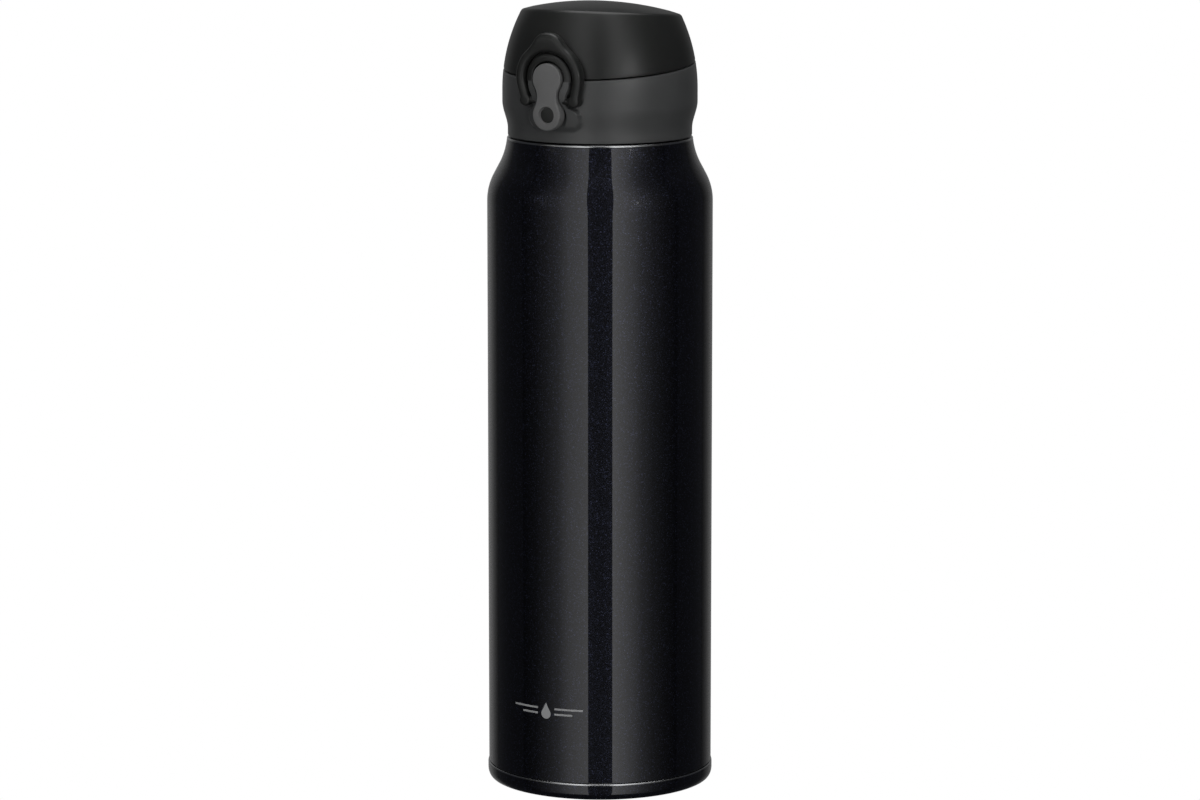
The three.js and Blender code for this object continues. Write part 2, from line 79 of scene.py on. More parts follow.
# %% [markdown]
# ## Tools for shapes
# Most of a bottle is turned, as on a lathe or in a spinning press. So most pieces here are an outline
# of radius and height that `bmesh.ops.spin` sweeps round the axis. The outline's corners carry a
# radius, because no moulded or pressed edge is truly sharp and a sharp one never catches the light.


# %% Outlines
def rounded(corners, closed=False, steps=4):
    """Outline through corners (u, v) or (u, v, cut), with each cut corner rounded by a curve."""
    points = []
    count = len(corners)
    for i, corner in enumerate(corners):
        here = Vector(corner[:2])
        cut = corner[2] if len(corner) > 2 else 0
        if cut == 0 or (not closed and i in (0, count - 1)):
            points.append(tuple(here))
            continue
        before = Vector(corners[i - 1][:2]) - here
        after = Vector(corners[(i + 1) % count][:2]) - here
        start = here + before.normalized() * min(cut, before.length * 0.49)
        end = here + after.normalized() * min(cut, after.length * 0.49)
        for k in range(steps + 1):
            t = k / steps
            points.append(tuple(start * (1 - t) ** 2 + here * 2 * t * (1 - t) + end * t * t))
    return points


def arc(u, v, radius, start, end, steps):
    """Points of an arc round (u, v), from angle start to angle end in degrees."""
    angles = [radians(start + (end - start) * k / steps) for k in range(steps + 1)]
    return [(u + radius * cos(a), v + radius * sin(a)) for a in angles]


def smoothstep(low, high, value):
    t = min(max((value - low) / (high - low), 0), 1)
    return t * t * (3 - 2 * t)


def along(stations, value):
    """Value between stations of (place, value), in straight steps."""
    for (a, at_a), (b, at_b) in zip(stations, stations[1:]):
        if value <= b:
            return at_a + (at_b - at_a) * max(value - a, 0) / (b - a)
    return stations[-1][1]


# %% Spinning, pushing out and cutting
def spun(outline, closed=True, steps=160, sectors=None, centre=(0, 0)):
    """Solid of revolution about the vertical line through centre. sectors is (degrees, steps) pairs."""
    bm = bmesh.new()
    start = Matrix.Rotation(radians(-90) - (radians(sectors[0][0]) / 2 if sectors else 0), 3, "Z")
    verts = [bm.verts.new(start @ Vector((r, 0, z))) for r, z in outline]
    pairs = list(zip(verts, verts[1:])) + ([(verts[-1], verts[0])] if closed else [])
    row = verts + [bm.edges.new(pair) for pair in pairs]
    for turn, count in sectors or [(360, steps)]:
        made = bmesh.ops.spin(bm, geom=row, axis=(0, 0, 1), angle=radians(turn), steps=count,
                              use_merge=turn == 360)
        row = made["geom_last"]
    bmesh.ops.remove_doubles(bm, verts=bm.verts, dist=1e-3)
    bmesh.ops.recalc_face_normals(bm, faces=bm.faces)
    bmesh.ops.translate(bm, verts=bm.verts, vec=(*centre, 0))
    return bm


def plate(outline, low, high, across="X", bevel=0.0, segments=3):
    """Flat outline pushed from low to high along the across axis, with its edges bevelled."""
    bm = bmesh.new()
    place = (lambda u, v: (low, u, v)) if across == "X" else (lambda u, v: (u, low, v))
    face = bm.faces.new([bm.verts.new(place(u, v)) for u, v in outline])
    made = bmesh.ops.extrude_face_region(bm, geom=[face])
    grown = [v for v in made["geom"] if isinstance(v, bmesh.types.BMVert)]
    push = (high - low, 0, 0) if across == "X" else (0, high - low, 0)
    bmesh.ops.translate(bm, verts=grown, vec=push)
    bmesh.ops.recalc_face_normals(bm, faces=bm.faces)
    if bevel:
        soften(bm, bevel, segments)
    return bm


def soften(bm, width, segments=2, over=40, where=lambda edge: True):
    """Bevels the edges that turn by more than over degrees."""
    sharp = [e for e in bm.edges if e.is_manifold and e.calc_face_angle() > radians(over) and where(e)]
    bmesh.ops.bevel(bm, geom=sharp, offset=width, segments=segments, profile=0.5,
                    affect="EDGES", material=-1, clamp_overlap=True)


def rod(radius, low_x, high_x, y, z, bevel=0.0, segments=40):
    """Round bar along X."""
    bm = bmesh.new()
    turn = Matrix.Translation(((low_x + high_x) / 2, y, z)) @ Matrix.Rotation(pi / 2, 4, "Y")
    bmesh.ops.create_cone(bm, cap_ends=True, segments=segments, radius1=radius, radius2=radius,
                          depth=high_x - low_x, matrix=turn)
    if bevel:
        soften(bm, bevel)
    return bm


def combined(base, tool, operation):
    """Joins, cuts or keeps the overlap of two closed shapes, and returns the result."""
    made = []
    for bm in (base, tool):
        mesh = bpy.data.meshes.new("shape")
        bm.to_mesh(mesh)
        bm.free()
        made.append(bpy.data.objects.new("shape", mesh))
        scene.collection.objects.link(made[-1])
    step = made[0].modifiers.new("step", "BOOLEAN")
    step.object, step.operation, step.solver = made[1], operation, "EXACT"
    ready = made[0].evaluated_get(bpy.context.evaluated_depsgraph_get())
    result = bmesh.new()
    result.from_mesh(ready.to_mesh())
    for obj in made:
        mesh = obj.data
        bpy.data.objects.remove(obj)
        bpy.data.meshes.remove(mesh)
    return result


def piece(name, bm, body, slot, material, *nodes, smooth=32):
    """Makes the shape an object in metres that rides on a body and stands for CAD nodes."""
    bmesh.ops.scale(bm, vec=(MM, MM, MM), verts=bm.verts)
    mesh = bpy.data.meshes.new(name)
    bm.to_mesh(mesh)
    bm.free()
    mesh.shade_smooth()
    mesh.set_sharp_from_angle(angle=radians(smooth))
    mesh.materials.append(material)
    obj = bpy.data.objects.new(name, mesh)
    scene.collection.objects.link(obj)
    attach(obj, body)
    if nodes:
        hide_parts(*nodes)
    print(f"{name}: {len(mesh.polygons)} faces")
    return obj


# %% [markdown]
# ## Tools for materials
# Colours are written as on a screen, in sRGB hex, and turned into the linear values that the shader
# wants. One function adds any node: it takes the node's settings by name and a dictionary of inputs,
# where an input is either a value or another node's output socket.


# %% Colour and node helpers
def srgb(text, alpha=1.0):
    channels = [int(text[i:i + 2], 16) / 255 for i in (1, 3, 5)]
    return (*[c / 12.92 if c <= 0.04045 else ((c + 0.055) / 1.055) ** 2.4 for c in channels], alpha)


def add_node(tree, kind, inputs=None, **settings):
    node = tree.nodes.new(kind)
    for key, value in settings.items():
        setattr(node, key, value)
    for key, value in (inputs or {}).items():
        if isinstance(value, bpy.types.NodeSocket):
            tree.links.new(value, node.inputs[key])
        else:
            node.inputs[key].default_value = value
    return node


def start_material(name, **inputs):
    """New material with a Principled shader. inputs are the shader's own values."""
    material = bpy.data.materials.new(name)
    material.use_nodes = True
    tree = material.node_tree
    shader = tree.nodes["Principled BSDF"]
    for key, value in inputs.items():
        shader.inputs[key.replace("_", " ")].default_value = value
    return material, tree, shader


def colour_ramp(tree, factor, stops):
    """Ramp over (place, colour) stops."""
    ramp = add_node(tree, "ShaderNodeValToRGB", {"Fac": factor})
    while len(ramp.color_ramp.elements) < len(stops):
        ramp.color_ramp.elements.new(0.5)
    for element, (place, colour) in zip(ramp.color_ramp.elements, stops):
        element.position, element.color = place, colour
    return ramp.outputs["Color"]


# %% [markdown]
# ## The finishes
# The body has pearl metallic paint: a near-black base with fine mica flakes under a clear coat. Each
# flake is one Voronoi cell with its own random tint, so the sparkle comes from colour and gloss, not
# from a picture. The plastics are polypropylene with the fine grain that a blasted mould leaves.


# %% Paint
FLAKE_MM = 0.30  # real flakes are under 0.1 mm; drawn this coarse so that they still show


def pearl_paint():
    # mica flakes under clear lacquer: dark face, blue-grey sheen, soft sparkle
    material, tree, shader = start_material(
        "pearl_black_lacquered_steel", Metallic=0.8, Coat_Weight=1.0, Coat_Roughness=0.035)
    place = add_node(tree, "ShaderNodeTexCoord").outputs["Object"]
    cells = add_node(tree, "ShaderNodeTexVoronoi", {"Vector": place, "Scale": 1 / (FLAKE_MM * MM)})
    pick = add_node(tree, "ShaderNodeSeparateColor", {"Color": cells.outputs["Color"]})
    tint = colour_ramp(tree, pick.outputs["Red"], [
        (0.0, srgb("#09090f")), (0.6, srgb("#0e0f18")), (0.92, srgb("#212432")), (1.0, srgb("#3e425a"))])
    tree.links.new(tint, shader.inputs["Base Color"])
    gloss = add_node(tree, "ShaderNodeMapRange", {
        "Value": pick.outputs["Green"], "To Min": 0.34, "To Max": 0.46})
    tree.links.new(gloss.outputs["Result"], shader.inputs["Roughness"])
    bump = add_node(tree, "ShaderNodeBump", {
        "Height": pick.outputs["Blue"], "Strength": 0.12, "Distance": 0.02 * MM})
    tree.links.new(bump.outputs["Normal"], shader.inputs["Normal"])
    return material


# %% Plastics and silicone
GRAIN_MM = 0.22  # grain of a blasted mould, a little coarser than real so that it shows
CLOUD_MM = 9     # size of the faint clouds in the tone


def moulded(name, dark, light, roughness, grain=0.25, **inputs):
    """Moulded plastic: two close tones in soft clouds, and a fine grain in gloss and height."""
    material, tree, shader = start_material(name, Roughness=roughness, **inputs)
    place = add_node(tree, "ShaderNodeTexCoord").outputs["Object"]
    clouds = add_node(tree, "ShaderNodeTexNoise", {
        "Vector": place, "Scale": 1 / (CLOUD_MM * MM), "Detail": 2.0})
    tone = colour_ramp(tree, clouds.outputs["Fac"], [(0.3, srgb(dark)), (0.7, srgb(light))])
    tree.links.new(tone, shader.inputs["Base Color"])
    fine = add_node(tree, "ShaderNodeTexNoise", {
        "Vector": place, "Scale": 1 / (GRAIN_MM * MM), "Detail": 1.0})
    gloss = add_node(tree, "ShaderNodeMapRange", {
        "Value": fine.outputs["Fac"], "From Min": 0.3, "From Max": 0.7,
        "To Min": roughness - 0.05, "To Max": roughness + 0.05})
    tree.links.new(gloss.outputs["Result"], shader.inputs["Roughness"])
    bump = add_node(tree, "ShaderNodeBump", {
        "Height": fine.outputs["Fac"], "Strength": grain, "Distance": 0.03 * MM})
    tree.links.new(bump.outputs["Normal"], shader.inputs["Normal"])
    return material


# %% Metals
LINE_MM = 0.15      # spacing of the fine turning lines
LINE_STRETCH = 40   # noise scale along the lines, in cells a metre


def turned_metal(name, dark, light, roughness, axis="Z"):
    """Metal with fine lines round its axis: noise squeezed along one direction."""
    material, tree, shader = start_material(name, Metallic=1.0, Roughness=roughness)
    place = add_node(tree, "ShaderNodeTexCoord").outputs["Object"]
    across = 1 / (LINE_MM * MM)
    squeeze = [across if letter == axis else LINE_STRETCH for letter in "XYZ"]
    lines = add_node(tree, "ShaderNodeMapping", {"Vector": place, "Scale": squeeze})
    noise = add_node(tree, "ShaderNodeTexNoise", {
        "Vector": lines.outputs["Vector"], "Scale": 1.0, "Detail": 3.0})
    tone = colour_ramp(tree, noise.outputs["Fac"], [(0.3, srgb(dark)), (0.7, srgb(light))])
    tree.links.new(tone, shader.inputs["Base Color"])
    bump = add_node(tree, "ShaderNodeBump", {
        "Height": noise.outputs["Fac"], "Strength": 0.15, "Distance": 0.01 * MM})
    tree.links.new(bump.outputs["Normal"], shader.inputs["Normal"])
    return material


paint = pearl_paint()
black_pp = moulded("matt_black_polypropylene", "#222322", "#262726", 0.36)
grey_pp = moulded("matt_grey_polypropylene", "#4d4e4e", "#525353", 0.36)
button_pp = moulded("satin_grey_polypropylene", "#6e6e6e", "#747474", 0.40)
pale_pp = moulded("smooth_pale_grey_polypropylene", "#8e9193", "#96999b", 0.38, grain=0.1)
silicone = moulded("soft_clear_silicone", "#c9c8c2", "#d3d2cc", 0.45, grain=0.1, Subsurface_Weight=0.3)
steel = turned_metal("polished_stainless_steel", "#b9bbbd", "#d2d3d4", 0.22)
pin_steel = turned_metal("ground_pin_steel", "#a9abad", "#c6c8c9", 0.25, axis="X")
foil = turned_metal("thin_copper_foil", "#c08058", "#d89a70", 0.2)
glue = moulded("cured_epoxy", "#d6cfba", "#e0dac8", 0.5)
print("materials:", len(bpy.data.materials))

# %% [markdown]
# ## The painted shell
# The outer shell is one drawn steel tube. Its shoulder is formed in two bends: it rolls in over a
# convex bend, runs straight down a short cone and sweeps up into the neck in a concave bend. Paint
# covers it up to the ledge under the collar, and the rim above stays bare and shows as a bright line.

# %% Shoulder outline
SHOULDER_START = 195.9  # where the cylinder ends
BEND_OUT = 18.7         # radius of the convex bend
BEND_IN = 23.0          # radius of the concave bend
CONE = 28               # slope of the cone between them, in degrees from upright
CONE_END = 208.2
PAINT_TOP = 216.4
WALL = 0.5              # sheet thickness


def shoulder(inset):
    convex = arc(BODY_R - BEND_OUT, SHOULDER_START, BEND_OUT - inset, 0, CONE, 14)
    u, v = convex[-1]
    cone_end = (u - (CONE_END - v) * sin(radians(CONE)) / cos(radians(CONE)), CONE_END)
    hub = Vector(cone_end) + Vector((cos(radians(CONE)), sin(radians(CONE)))) * (BEND_IN + inset)
    concave = [p for p in arc(*hub, BEND_IN + inset, CONE + 180, 186, 16) if p[1] < PAINT_TOP]
    return convex + concave


def painted_shell():
    foot = COVER_R - 1.6
    outside = shoulder(0)
    rim = outside[-1][0]
    low = [(foot, SHELL_BOTTOM), (foot, COVER_TOP), (BODY_R - 0.2, COVER_TOP + 0.1),
           (BODY_R, COVER_TOP + 0.4), (BODY_R, COVER_TOP + 0.55)]
    inside = [(rim - WALL, PAINT_TOP - 0.1)] + shoulder(WALL)[::-1]
    inside += [(BODY_R - WALL, COVER_TOP + 1), (foot - WALL, COVER_TOP + 0.3), (foot - WALL, SHELL_BOTTOM)]
    rows = [(BODY_R, COVER_TOP + 0.7 + (SHOULDER_START - COVER_TOP - 0.7) * k / 12) for k in range(1, 12)]
    return spun(low + rows + outside + [(rim - 0.05, PAINT_TOP - 0.1), (rim - 0.2, PAINT_TOP)] + inside,
                steps=192)


piece("painted_shell", painted_shell(), "flask_body", "body_paint", paint, "outer_shell")

# %% [markdown]
# ## The bare neck
# Above the paint the same sheet turns in to a flat ledge and up into the neck, where a rolled thread
# ridge holds the stopper. The ridge is a small circle swept round the neck while it climbs: `spin`
# does that when it is given a step along the axis as well as an angle.

# %% Neck with its rolled thread
NECK_R = 24.5
THREAD_START = 221.5
PITCH = 4.0


def coil(section_r, radius, turns, pitch, low, steps_a_turn=48, sides=12):
    """Round ridge or wire that climbs about the Z axis."""
    bm = bmesh.new()
    turn = Matrix.Translation((radius, 0, low)) @ Matrix.Rotation(pi / 2, 4, "X")
    bmesh.ops.create_circle(bm, cap_ends=True, segments=sides, radius=section_r, matrix=turn)
    steps = round(turns * steps_a_turn)
    bmesh.ops.spin(bm, geom=bm.verts[:] + bm.edges[:] + bm.faces[:], axis=(0, 0, 1),
                   dvec=(0, 0, turns * pitch / steps), angle=turns * 2 * pi, steps=steps)
    bmesh.ops.recalc_face_normals(bm, faces=bm.faces)
    return bm


def steel_neck():
    ledge = COLLAR_BOTTOM - 0.5
    rim = shoulder(0)[-1][0] - 0.08
    outline = rounded([
        (rim, PAINT_TOP + 0.05, 0.1), (rim - 0.02, ledge, 0.3), (NECK_R, ledge, 0.8), (NECK_R, LIP_Z, 0.2),
        (NECK_R - WALL, LIP_Z, 0.2), (NECK_R - WALL, ledge - WALL, 0.8), (rim - 1.0, PAINT_TOP + 0.05)],
        closed=True)
    ridge = coil(1.0, NECK_R + 0.4, 1.5, PITCH, THREAD_START)
    return combined(spun(outline, steps=144), ridge, "UNION")


piece("steel_neck", steel_neck(), "flask_body", "steel", steel)

# %% [markdown]
# ## The base cover
# A shallow painted cup hides the weld and the sealed hole under the bottle. It is a little wider than
# the body and ends just under its top edge, where a steel bead of its own is a painted highlight. Its
# floor is raised in the middle, and the bottle stands on the ring that is left.


# %% Base cover
def base_cover():
    wall = COVER_R - 1.3
    return spun(rounded([
        (0, 1.0), (27.6, 1.0, 0.6), (29.2, 0, 0.8), (36.6, 0, 1.6), (COVER_R, 1.9, 1.3),
        (COVER_R, COVER_TOP - 0.55, 0.1), (wall, COVER_TOP - 0.55, 0.1), (wall, 2.2, 0.4), (0, 2.2)],
        steps=6), closed=False, steps=192)


piece("base_cover_fine", base_cover(), "flask_body", "body_paint", paint, "base_cover")

# %% [markdown]
# A thin bright line runs round the bottle's foot as a painted highlight on the cup's top edge. It is a
# narrow steel bead that sits in the edge, and its round top always finds some light to reflect.


# %% Painted highlight bead on the base cover's edge
def cover_painted_highlight_bead():
    return spun(rounded([
        (COVER_R - 0.75, COVER_TOP - 0.5), (COVER_R - 0.02, COVER_TOP - 0.5, 0.05),
        (COVER_R - 0.08, COVER_TOP - 0.02, 0.35), (COVER_R - 0.75, COVER_TOP - 0.02, 0.1)],
        closed=True), steps=192)


# the steel bead paints the highlight along the painted cup's lip
piece("base_cover_painted_highlight_bead", cover_painted_highlight_bead(), "flask_body", "steel", steel)

# %% [markdown]
# ## The printed mark
# The front carries one small light print near the foot. Ink is only a film, so the mark is flat
# shapes laid on the cylinder: drawn flat, cut in fine columns, and then wrapped round the body. This
# one is a plain ornament, a drop between two pairs of rules.

# %% Printed mark
MARK_Z = 29.6
MARK_WIDTH = 26.0
MARK_HEIGHT = 5.6
INK = 0.05                              # how far the film stands out
COLUMN = 0.5                            # width of the columns that bend round the body
DROP_R, DROP_LOW = 0.31, -0.16          # the drop's round end, as shares of the mark's height
RULES = ((0.16, 0.5), (-0.16, 0.36))    # height and reach of each rule, as shares of height and width
RULE_START, RULE_HALF = 0.12, 0.055     # where a rule starts and its half thickness, as such shares


def printed_mark():
    bm = bmesh.new()
    turns = [radians(130 - 260 * k / 24) for k in range(25)]
    drop = [(0, 0.5)] + [(DROP_R * sin(t), DROP_LOW - DROP_R * cos(t)) for t in turns]
    shapes = [[(u * MARK_HEIGHT, v * MARK_HEIGHT) for u, v in drop]]
    for side in (-1, 1):
        for height, reach in RULES:
            a, b = sorted((side * RULE_START * MARK_WIDTH, side * reach * MARK_WIDTH))
            low, high = ((height + edge * RULE_HALF) * MARK_HEIGHT for edge in (-1, 1))
            shapes.append([(a, low), (b, low), (b, high), (a, high)])
    for shape in shapes:
        bm.faces.new([bm.verts.new((u, 0, v)) for u, v in shape])
    count = int(MARK_WIDTH / 2 / COLUMN)
    for k in range(-count, count + 1):
        bmesh.ops.bisect_plane(bm, geom=bm.verts[:] + bm.edges[:] + bm.faces[:],
                               plane_co=(k * COLUMN, 0, 0), plane_no=(1, 0, 0))
    made = bmesh.ops.extrude_face_region(bm, geom=bm.faces[:])
    top = {v for v in made["geom"] if isinstance(v, bmesh.types.BMVert)}
    for v in bm.verts:
        turn, radius = v.co.x / BODY_R, BODY_R + (INK if v in top else -INK)
        v.co = Vector((radius * sin(turn), -radius * cos(turn), MARK_Z + v.co.z))
    bmesh.ops.recalc_face_normals(bm, faces=bm.faces)
    return bm


ink = moulded("light_grey_printing_ink", "#b4b5b6", "#bcbdbe", 0.5, grain=0.1)
piece("printed_mark", printed_mark(), "flask_body", "body_paint", ink)

# %% [markdown]
# ## The barrel line of collar and lid
# Collar and lid share one barrel outline, cut by a plane that rises towards the hinge. Both are spun
# with a level cut, and then every row is leaned: a row moves up or down in proportion to how far back
# it lies, and its radius is corrected so that it stays on the barrel.

# %% Barrel outline and lean
BELLY_R = 32.35
BELLY_Z = 233.0
BARREL_R = 56.5     # radius of the barrel's side, seen from the front
COLLAR_R = 30.55    # at the collar's lower edge
PART_Z = 240.9      # parting plane, on the axis
PART_SLOPE = 0.09   # it rises towards the hinge
PART_GAP = 0.4
DOME_TOP = 262.1
DOME_R = 100.0
DOME_SLOPE = -0.075  # the lid's top falls towards the hinge
EDGE_Z = 258.4       # where side and dome meet, on average
LID_WALL = 1.6


def barrel_r(z):
    if z > BELLY_Z:
        return BELLY_R - BARREL_R + sqrt(BARREL_R ** 2 - (z - BELLY_Z) ** 2)
    return COLLAR_R + (BELLY_R - COLLAR_R) * smoothstep(220, 229, z)


def leaned(bm, slope_at):
    """Leans every row by slope_at(z), and keeps the barrel's outline."""
    for v in bm.verts:
        level = min(v.co.z, EDGE_Z)
        slope = slope_at(v.co.z)
        radius = hypot(v.co.x, v.co.y)
        side = barrel_r(level) * v.co.y / radius if radius > 1e-6 else 0
        scale = barrel_r(level + side * slope_at(level)) / barrel_r(level)
        v.co.z += v.co.y * slope
        v.co.x *= scale
        v.co.y *= scale
    return bm


def collar_slope(z):
    return PART_SLOPE * smoothstep(228, PART_Z, z)


def lid_slope(z):
    share = min(max((z - PART_Z) / (EDGE_Z - PART_Z), 0), 1)
    return PART_SLOPE + (DOME_SLOPE - PART_SLOPE) * share


# %% [markdown]
# ## The button's outline
# The release button is two circles joined by hollow sides. The same outline, grown by the running
# gap, cuts its pocket in the collar. The centre of a hollow side follows from the two circles and
# the hollow's radius, by the rule of cosines.

# %% Button outline
BUTTON_TOP = 238.9
BUTTON_TOP_R = 5.18
BUTTON_LOW = 227.2
BUTTON_LOW_R = 5.07
WAIST_R = 6.56
GAP = 0.6


def button_outline(grow=0.0, steps=12):
    top, low, waist = BUTTON_TOP_R + grow, BUTTON_LOW_R + grow, WAIST_R - grow
    span = BUTTON_TOP - BUTTON_LOW
    a, b = top + waist, low + waist
    drop = (a * a - b * b + span * span) / (2 * span)
    x = sqrt(a * a - drop * drop)
    up, down = degrees(atan2(drop, x)), degrees(atan2(span - drop, x))
    points = arc(0, BUTTON_TOP, top, -up, 180 + up, 3 * steps)
    points += arc(-x, BUTTON_TOP - drop, waist, up, -down, steps)[1:]
    points += arc(0, BUTTON_LOW, low, 180 - down, 360 + down, 3 * steps)[1:]
    points += arc(x, BUTTON_TOP - drop, waist, 180 + down, 180 - up, steps)[1:-1]
    return points


# %% [markdown]
# ## The collar
# The collar screws on the neck. In front it swells into a boss that carries the button and the ring.
# Moulded bosses grow out of a wall in one smooth sweep, which is hard to get by joining two shapes.
# So the front of the barrel is spun in fine steps and pushed forward by a smooth mask, and only the
# crisp edges are cut: the button's pocket, the seats of the ring's ends and the room for the hinge.

# %% Boss shape
# half width and face radius of the boss at a height: it narrows behind the ring's ends
BOSS_WIDTH = [(222.0, 6.8), (223.0, 8.3), (224.5, 9.2), (227, 9.4), (228.6, 8.8), (229.4, 7.1),
              (230.2, 6.2), (231.8, 6.1), (233, 6.4), (234.4, 7.0), (236.2, 7.6), (238.6, 8.0), (243, 8.0)]
BOSS_FACE = [(219.5, 30.4), (222, 31.9), (225, 33.0), (228.5, 34.2), (232.5, 35.7), (235, 36.05),
             (246, 36.05)]


def raise_boss(bm):
    for v in bm.verts:
        x, y, z = v.co
        if y > 0 or abs(x) > 14 or z < 219 or hypot(x, y) < barrel_r(z) - 0.8:
            continue
        spread = 0.4 + 0.6 * (1 - smoothstep(222, 230, z))
        mask = 1 - smoothstep(-0.6 * spread, spread, abs(x) - along(BOSS_WIDTH, z))
        mask *= smoothstep(221.0, 223.2, z)
        face = -sqrt(max(along(BOSS_FACE, z), barrel_r(z)) ** 2 - x * x)
        v.co.y += (face - y) * mask


# %% Collar
DECK_LOW, DECK_TOP = 233.9, 236.0
POCKET_FLOOR = 31.7     # the button's pocket reaches in to this distance from the axis
SEAT_X = (6.4, 11.3)    # the seats of the ring's ends lie between these distances from the middle
SEAT_R = 2.35
PIN_HOLE_X, PIN_HOLE_R = (4.1, 7), 1.4
SPOUT_Y = -5
SPOUT_HOLE_R = 9.8
EAR_X = (5.6, 9.2)
EYE_R = 2.4
RELIEF_R = 2.9


def hinge_relief(radius=RELIEF_R):
    return rod(radius, -EAR_X[1] - 0.4, EAR_X[1] + 0.4, HINGE_Y, HINGE_Z)


def collar_body():
    rows = [COLLAR_BOTTOM + 1 + (PART_Z - 0.35 - COLLAR_BOTTOM - 1) * k / 62 for k in range(63)]
    top_r = barrel_r(PART_Z)
    outline = [(0, DECK_LOW), (26.6, DECK_LOW), (26.6, 218.8), (27.6, COLLAR_BOTTOM),
               (COLLAR_R - 0.45, COLLAR_BOTTOM),
               (COLLAR_R - 0.12, COLLAR_BOTTOM + 0.12), (COLLAR_R, COLLAR_BOTTOM + 0.45)]
    outline += [(barrel_r(z), z) for z in rows]
    outline += [(top_r - 0.1, PART_Z - 0.1), (top_r - 0.35, PART_Z), (29.4, PART_Z), (29.2, PART_Z - 0.2),
                (29.2, DECK_TOP + 0.6), (28.6, DECK_TOP), (0, DECK_TOP)]
    bm = spun(outline, closed=False, sectors=[(44, 88), (316, 106)])
    leaned(bm, collar_slope)
    raise_boss(bm)
    return bm


def hinge_ear(low, high):
    eye = arc(HINGE_Y, HINGE_Z, EYE_R, -25, 190, 20)
    return plate(eye + [(29.9, 240.6), (29.9, 236.2), (31.6, 235.4)], low, high, bevel=0.3)


def collar():
    bm = combined(collar_body(), plate(button_outline(GAP), -40, -POCKET_FLOOR, "Y"), "DIFFERENCE")
    for side in (-1, 1):
        seat = rod(SEAT_R, *sorted(side * x for x in SEAT_X), RING_PIVOT_Y, RING_PIVOT_Z, bevel=0.3)
        bm = combined(bm, seat, "DIFFERENCE")
        hole = rod(PIN_HOLE_R, *sorted(side * x for x in PIN_HOLE_X), RING_PIVOT_Y, RING_PIVOT_Z)
        bm = combined(bm, hole, "DIFFERENCE")
    bm = combined(bm, hinge_relief(), "DIFFERENCE")
    for side in (-1, 1):
        bm = combined(bm, hinge_ear(*sorted((side * EAR_X[0], side * EAR_X[1]))), "UNION")
    hole = spun([(0, 230), (SPOUT_HOLE_R, 230), (SPOUT_HOLE_R, 240), (0, 240)], closed=False, steps=64,
                centre=(0, SPOUT_Y))
    return combined(bm, hole, "DIFFERENCE")


piece("collar_fine", collar(), "stopper", "grey_plastic", grey_pp, "collar")

# %% [markdown]
# ## The lid
# The lid is spun as a level cap with a hollow, and leaned between its two planes: the parting plane
# below and the dome above. The arch over the button and the hinge knuckle are joined to it.

# %% Lid
ARCH_R = (BUTTON_TOP_R + GAP, 8.35)
ARCH_BACK = 29.9  # inside the lid's wall
ARCH_FACE = 36.0  # drawn flush with the boss, though the mechanical model keeps it behind the ring


def dome_z(r):
    return DOME_TOP - DOME_R + sqrt(DOME_R ** 2 - r * r)


def lid_cap():
    foot = PART_Z + PART_GAP
    edge_r = barrel_r(EDGE_Z)
    dome = [(r, dome_z(r)) for r in [edge_r * k / 14 for k in range(13)]]
    rows = [(barrel_r(z), z) for z in [EDGE_Z - 2 - (EDGE_Z - 2 - foot - 0.6) * k / 20 for k in range(21)]]
    side = [dome[-1], (edge_r + 0.02, EDGE_Z + 0.03, 0.8), rows[0]]
    inner = [(barrel_r(z) - LID_WALL, z) for z in (foot + 0.4, 246, 250, 254, EDGE_Z - 2.2)]
    inner_top = [(edge_r - 3, EDGE_Z - 1.4)] + [(r, dome_z(r) - 1.8) for r in (18, 9, 0)]
    outline = dome[:-1] + rounded(side, steps=6) + rows[1:]
    foot_r = barrel_r(foot)
    outline += [(foot_r - 0.1, foot + 0.1), (foot_r - 0.4, foot), (foot_r - 1.3, foot)]
    return leaned(spun(outline + inner + inner_top, closed=False, steps=192), lid_slope)


def lid_arch():
    """Ring about the button's upper circle, cut off at the parting plane."""
    bm = bmesh.new()
    inner, outer = ARCH_R
    outline = rounded([(inner, -ARCH_BACK), (inner, -ARCH_FACE, 0.5), (outer, -ARCH_FACE, 0.9),
                       (outer, -ARCH_BACK)], closed=True)
    verts = [bm.verts.new((r, y, BUTTON_TOP)) for r, y in outline]
    edges = [bm.edges.new(pair) for pair in zip(verts, verts[1:] + verts[:1])]
    bmesh.ops.spin(bm, geom=verts + edges, cent=(0, 0, BUTTON_TOP), axis=(0, 1, 0), angle=2 * pi,
                   steps=96, use_merge=True)
    bmesh.ops.remove_doubles(bm, verts=bm.verts, dist=1e-3)
    for v in bm.verts:
        if v.co.y < -33:
            v.co.y += ARCH_FACE - sqrt(ARCH_FACE ** 2 - v.co.x ** 2)
    cut = bmesh.ops.bisect_plane(bm, geom=bm.verts[:] + bm.edges[:] + bm.faces[:], clear_inner=True,
                                 plane_co=(0, 0, PART_Z + PART_GAP), plane_no=(0, -PART_SLOPE, 1))
    rim = [e for e in cut["geom_cut"] if isinstance(e, bmesh.types.BMEdge)]
    bmesh.ops.holes_fill(bm, edges=rim)
    bmesh.ops.recalc_face_normals(bm, faces=bm.faces)
    return bm


def lid_knuckle():
    eye = arc(HINGE_Y, HINGE_Z, EYE_R, 170, 375, 20)
    return plate(eye + [(34.0, 245.0), (30.6, 248.6), (29.4, 248.2), (29.7, 244.8)], -5.2, 3.0, bevel=0.3)


def lid():
    bm = combined(lid_cap(), hinge_relief(), "DIFFERENCE")
    bm = combined(bm, lid_arch(), "UNION")
    return combined(bm, lid_knuckle(), "UNION")


piece("lid_fine", lid(), "lid", "black_plastic", black_pp, "lid_shell")

